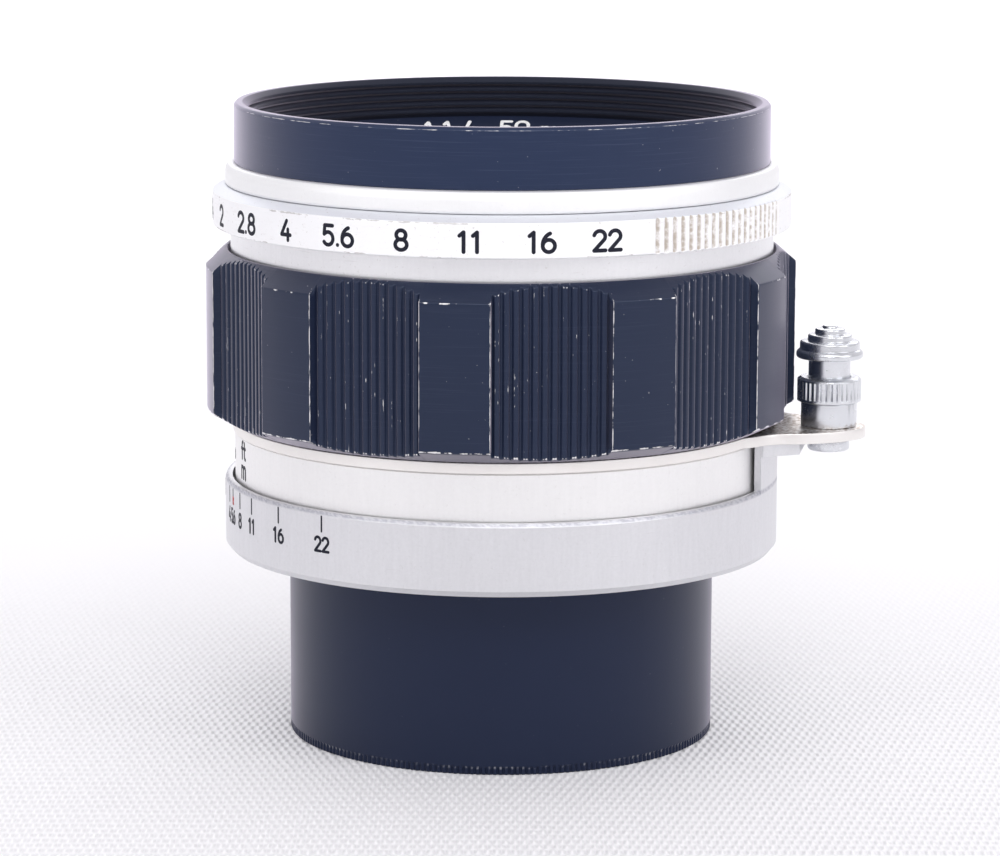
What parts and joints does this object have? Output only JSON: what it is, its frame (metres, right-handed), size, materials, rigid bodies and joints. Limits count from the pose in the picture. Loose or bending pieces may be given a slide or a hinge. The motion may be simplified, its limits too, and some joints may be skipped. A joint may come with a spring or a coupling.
{
  "type": "manual focus camera lens",
  "caption": "Manual-focus lens standing on a deep rear cap: scalloped focusing ring, aperture ring, engraved scales, filter thread and a spring plunger on a side arm.",
  "frame": {"origin": "centre of the rear cap's base, on the optical axis", "axes": "+Z along the optical axis towards the front of the lens, +X roughly towards the side arm, -Y towards the side with the aperture figures"},
  "size_m": [0.0665, 0.0598, 0.0643],
  "materials": {
    "black_enamel": "semi-gloss, worn",
    "name_black": "matt",
    "cap_plastic": "satin",
    "silver": "satin",
    "inner_alloy": "black anodised",
    "nickel_plate": "nickel plated",
    "steel": "turned",
    "brass": "turned",
    "glass": "coated",
    "blade_steel": "blued"
  },
  "bodies": {
    "mount": {"dof_ring": "silver", "mount_flange": "steel", "bearing_tube": "inner_alloy", "guide_key_1": "steel", "guide_key_2": "steel", "release_arm": "nickel_plate", "plunger_housing": "steel", "plunger_spring": "steel"},
    "rear_cap": {"rear_cap": "cap_plastic"},
    "focus_ring": {"focus_grip": "black_enamel", "focus_sleeve": "brass", "distance_ring": "silver"},
    "optical_barrel": {"barrel": "silver", "front_collar": "silver", "filter_ring": "black_enamel", "name_ring": "name_black", "front_cell": "inner_alloy", "rear_cell": "inner_alloy", "retaining_front": "inner_alloy", "retaining_middle": "inner_alloy", "retaining_rear": "inner_alloy", "lens_1": "glass", "lens_2": "glass", "lens_3": "glass", "lens_4": "glass", "lens_5": "glass", "lens_6": "glass", "iris_base": "inner_alloy"},
    "aperture": {"aperture_ring": "silver", "drive_screw": "steel", "cam_tube": "inner_alloy"},
    "iris_drive": {"drive_ring": "brass"},
    "plunger": {"plunger_button": "steel", "plunger_stem": "steel", "plunger_foot": "steel"},
    "lock": {"lock_collar": "steel"},
    "blade_01": {"iris_blade_01": "blade_steel"},
    "blade_02": {"iris_blade_02": "blade_steel"},
    "blade_03": {"iris_blade_03": "blade_steel"},
    "blade_04": {"iris_blade_04": "blade_steel"},
    "blade_05": {"iris_blade_05": "blade_steel"},
    "blade_06": {"iris_blade_06": "blade_steel"},
    "blade_07": {"iris_blade_07": "blade_steel"},
    "blade_08": {"iris_blade_08": "blade_steel"},
    "blade_09": {"iris_blade_09": "blade_steel"},
    "blade_10": {"iris_blade_10": "blade_steel"}
  },
  "joints": [
    {"name": "cap_release", "type": "slide", "parent": "mount", "child": "rear_cap", "axis": [0, 0, -1], "range_m": [0, 0.022]},
    {"name": "focus_turn", "type": "hinge", "parent": "mount", "child": "focus_ring", "pos_m": [0, 0, 0.04], "axis": [0, 0, 1], "range_deg": [0, 180]},
    {"name": "barrel_extend", "type": "slide", "parent": "mount", "child": "optical_barrel", "axis": [0, 0, 1], "range_m": [0, 0.00281]},
    {"name": "aperture_turn", "type": "hinge", "parent": "optical_barrel", "child": "aperture", "pos_m": [0, 0, 0.054], "axis": [0, 0, 1], "range_deg": [-105, 0]},
    {"name": "iris_turn", "type": "hinge", "parent": "optical_barrel", "child": "iris_drive", "pos_m": [0, 0, 0.0354], "axis": [0, 0, 1], "range_deg": [0, 5.21]},
    {"name": "plunger_press", "type": "slide", "parent": "mount", "child": "plunger", "axis": [0, 0, -1], "range_m": [0, 0.0018], "stiffness_N_per_m": 600, "springref_m": -0.003, "deforming": ["plunger_spring"]},
    {"name": "lock_turn", "type": "hinge", "parent": "mount", "child": "lock", "pos_m": [0.03289, -0.0055, 0.036], "axis": [0, 0, 1], "range_deg": [-90, 0]},
    {"name": "blade_01_swing", "type": "hinge", "parent": "optical_barrel", "child": "blade_01", "pos_m": [0.0192, 0, 0.0345], "axis": [0, 0, 1], "range_deg": [0, 34.01]},
    {"name": "blade_02_swing", "type": "hinge", "parent": "optical_barrel", "child": "blade_02", "pos_m": [0.01553, 0.01129, 0.0345], "axis": [0, 0, 1], "range_deg": [0, 34.01]},
    {"name": "blade_03_swing", "type": "hinge", "parent": "optical_barrel", "child": "blade_03", "pos_m": [0.00593, 0.01826, 0.0345], "axis": [0, 0, 1], "range_deg": [0, 34.01]},
    {"name": "blade_04_swing", "type": "hinge", "parent": "optical_barrel", "child": "blade_04", "pos_m": [-0.00593, 0.01826, 0.0345], "axis": [0, 0, 1], "range_deg": [0, 34.01]},
    {"name": "blade_05_swing", "type": "hinge", "parent": "optical_barrel", "child": "blade_05", "pos_m": [-0.01553, 0.01129, 0.0345], "axis": [0, 0, 1], "range_deg": [0, 34.01]},
    {"name": "blade_06_swing", "type": "hinge", "parent": "optical_barrel", "child": "blade_06", "pos_m": [-0.0192, 0, 0.0345], "axis": [0, 0, 1], "range_deg": [0, 34.01]},
    {"name": "blade_07_swing", "type": "hinge", "parent": "optical_barrel", "child": "blade_07", "pos_m": [-0.01553, -0.01129, 0.0345], "axis": [0, 0, 1], "range_deg": [0, 34.01]},
    {"name": "blade_08_swing", "type": "hinge", "parent": "optical_barrel", "child": "blade_08", "pos_m": [-0.00593, -0.01826, 0.0345], "axis": [0, 0, 1], "range_deg": [0, 34.01]},
    {"name": "blade_09_swing", "type": "hinge", "parent": "optical_barrel", "child": "blade_09", "pos_m": [0.00593, -0.01826, 0.0345], "axis": [0, 0, 1], "range_deg": [0, 34.01]},
    {"name": "blade_10_swing", "type": "hinge", "parent": "optical_barrel", "child": "blade_10", "pos_m": [0.01553, -0.01129, 0.0345], "axis": [0, 0, 1], "range_deg": [0, 34.01]}
  ],
  "couplings": [
    {"joint": "barrel_extend", "follows": "focus_turn", "m_per_rad": 0.00089127},
    {"joint": "iris_turn", "follows": "aperture_turn", "ratio": -0.049524},
    {"joint": "blade_01_swing", "follows": "aperture_turn", "ratio": -0.32381},
    {"joint": "blade_02_swing", "follows": "aperture_turn", "ratio": -0.32381},
    {"joint": "blade_03_swing", "follows": "aperture_turn", "ratio": -0.32381},
    {"joint": "blade_04_swing", "follows": "aperture_turn", "ratio": -0.32381},
    {"joint": "blade_05_swing", "follows": "aperture_turn", "ratio": -0.32381},
    {"joint": "blade_06_swing", "follows": "aperture_turn", "ratio": -0.32381},
    {"joint": "blade_07_swing", "follows": "aperture_turn", "ratio": -0.32381},
    {"joint": "blade_08_swing", "follows": "aperture_turn", "ratio": -0.32381},
    {"joint": "blade_09_swing", "follows": "aperture_turn", "ratio": -0.32381},
    {"joint": "blade_10_swing", "follows": "aperture_turn", "ratio": -0.32381}
  ]
}
